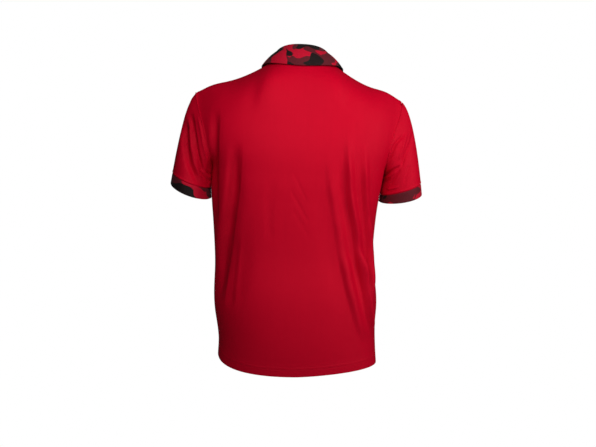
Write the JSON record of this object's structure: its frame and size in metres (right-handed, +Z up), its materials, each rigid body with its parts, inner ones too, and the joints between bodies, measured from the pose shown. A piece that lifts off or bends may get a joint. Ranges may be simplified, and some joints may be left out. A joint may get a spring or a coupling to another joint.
{
  "type": "golf polo shirt",
  "caption": "Short-sleeved golf polo shirt, filled out as worn and hollow, with a fold-over patterned collar, a button placket, sleeve bands and a curved tail hem.",
  "frame": {"origin": "on the line between the two points where the shoulder seams meet the neck, where the shirt hangs from its wearer's shoulders", "axes": "+Z up to the neck, +X to the wearer's left, -Y the way the wearer faces"},
  "size_m": [0.592, 0.2475, 0.7692],
  "materials": {
    "jersey": "smooth crimson performance jersey with a satin sheen",
    "patterned_jersey": null,
    "button_plastic": "glossy crimson plastic"
  },
  "bodies": {
    "root": {"back_panel": "jersey", "front_panel": "jersey", "sleeve_left": "jersey", "sleeve_right": "jersey", "cuff_left": "patterned_jersey", "cuff_right": "patterned_jersey", "collar_stand": "patterned_jersey", "collar_fall": "patterned_jersey", "placket_upper": "jersey", "placket_under": "jersey", "button_1": "button_plastic", "button_2": "button_plastic", "button_3": "button_plastic"}
  },
  "joints": []
}
